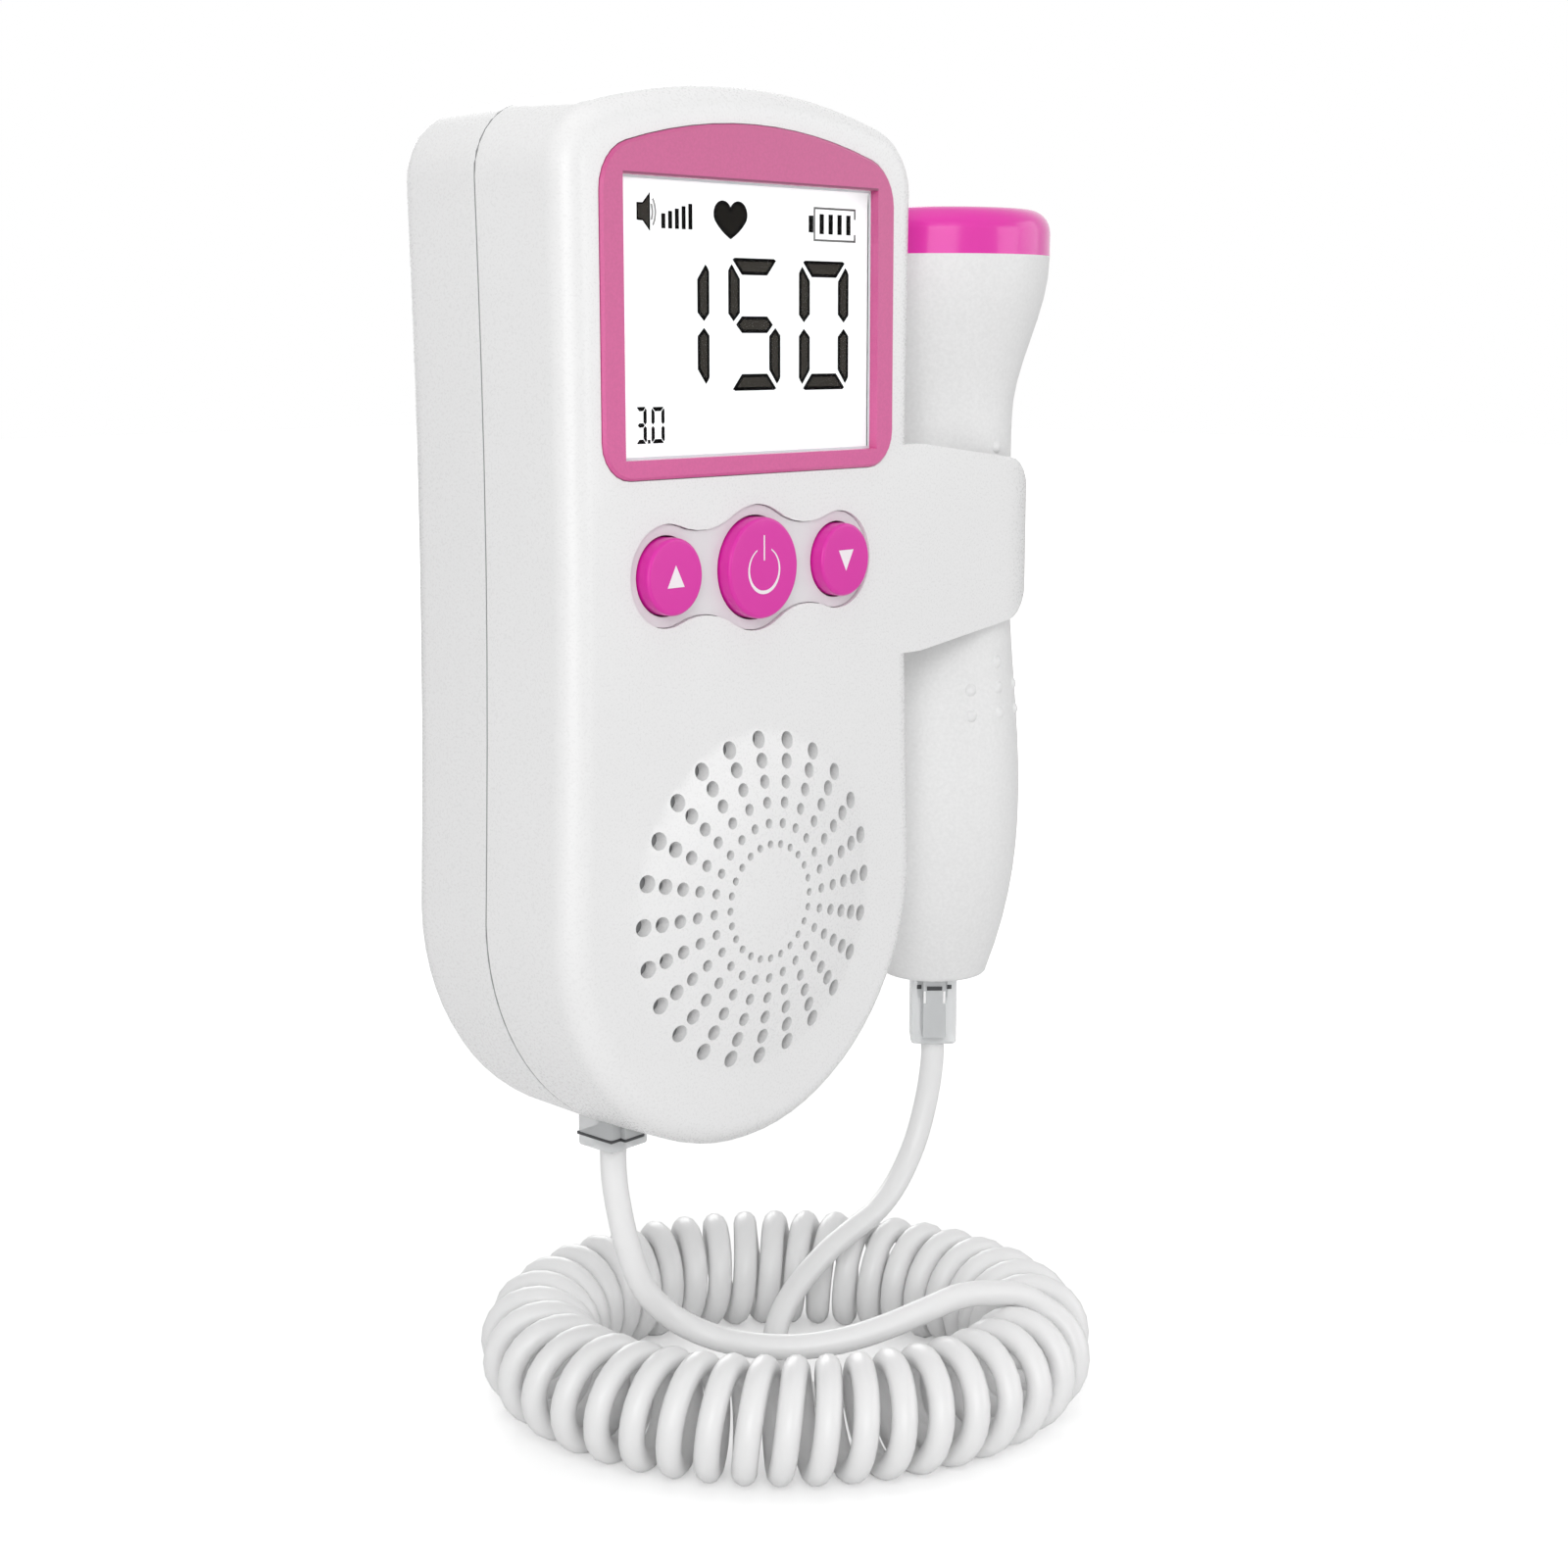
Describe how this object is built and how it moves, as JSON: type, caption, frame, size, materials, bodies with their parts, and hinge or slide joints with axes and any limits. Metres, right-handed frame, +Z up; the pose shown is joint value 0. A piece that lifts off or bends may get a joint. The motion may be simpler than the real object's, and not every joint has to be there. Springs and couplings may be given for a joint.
{
  "type": "fetal doppler monitor",
  "caption": "Handheld ultrasound heartbeat monitor: display unit with round buttons and domed speaker grille, clip-on probe and curly cord.",
  "frame": {"origin": "on the display unit's flat back, on its centre plane and level with the middle of the display", "axes": "+Z up along the unit, the display faces -Y, +X towards the probe"},
  "size_m": [0.1016, 0.0789, 0.1783],
  "materials": {
    "casing_white": "satin",
    "bezel_pink": "satin",
    "window_clear": "gloss",
    "lcd_glass": "gloss",
    "backlight_white": "matte",
    "keypad_grey": "matte",
    "button_magenta": "satin",
    "plunger_black": "matte",
    "switch_steel": "satin",
    "connector_rubber": "matte",
    "board_green": "satin",
    "chip_black": "matte",
    "screw_steel": "satin",
    "basket_grey": "satin",
    "cone_black": "matte",
    "magnet_steel": "satin",
    "cell_sleeve": "satin",
    "contact_nickel": "satin",
    "socket_grey": "satin",
    "socket_black": "satin",
    "plug_clear": "gloss",
    "cord_white": "satin",
    "cap_pink": "satin",
    "disc_silver": "satin",
    "backing_resin": "matte"
  },
  "bodies": {
    "unit": {"front_shell": "casing_white", "rear_shell": "casing_white", "display_bezel": "bezel_pink", "display_window": "window_clear", "lcd_glass": "lcd_glass", "backlight": "backlight_white", "lcd_connectors": "connector_rubber", "keypad_membrane": "keypad_grey", "key_switches": "switch_steel", "main_board": "board_green", "board_chips": "chip_black", "board_screws": "screw_steel", "shell_screws": "screw_steel", "speaker_frame": "basket_grey", "speaker_cone": "cone_black", "speaker_magnet": "magnet_steel", "battery_left": "cell_sleeve", "battery_right": "cell_sleeve", "battery_springs": "contact_nickel", "battery_plates": "contact_nickel", "socket_board": "board_green", "probe_socket": "socket_grey", "earphone_socket": "socket_black", "unit_plug": "plug_clear", "unit_lead": "cord_white", "curly_cord": "cord_white", "probe_lead": "cord_white", "unit_plug_latch": "plug_clear"},
    "up_key": {"up_button": "button_magenta", "up_plunger": "plunger_black"},
    "power_key": {"power_button": "button_magenta", "power_plunger": "plunger_black"},
    "down_key": {"down_button": "button_magenta", "down_plunger": "plunger_black"},
    "battery_door": {"battery_door": "casing_white"},
    "probe": {"probe_front_shell": "casing_white", "probe_rear_shell": "casing_white", "probe_cap": "cap_pink", "piezo_crystal": "disc_silver", "crystal_backing": "backing_resin", "probe_board": "board_green", "probe_jack": "socket_grey", "probe_plug": "plug_clear", "probe_plug_latch": "plug_clear"}
  },
  "joints": [
    {"name": "up_press", "type": "slide", "parent": "unit", "child": "up_key", "axis": [0, 1, 0], "range_m": [0, 0.0006], "stiffness_N_per_m": 2000},
    {"name": "power_press", "type": "slide", "parent": "unit", "child": "power_key", "axis": [0, 1, 0], "range_m": [0, 0.0006], "stiffness_N_per_m": 2000},
    {"name": "down_press", "type": "slide", "parent": "unit", "child": "down_key", "axis": [0, 1, 0], "range_m": [0, 0.0006], "stiffness_N_per_m": 2000},
    {"name": "door_hinge", "type": "hinge", "parent": "unit", "child": "battery_door", "pos_m": [0, 0, -0.0862], "axis": [-1, 0, 0], "range_deg": [0, 75]},
    {"name": "probe_release", "type": "slide", "parent": "unit", "child": "probe", "axis": [0, 1, 0], "range_m": [0, 0.03]}
  ]
}
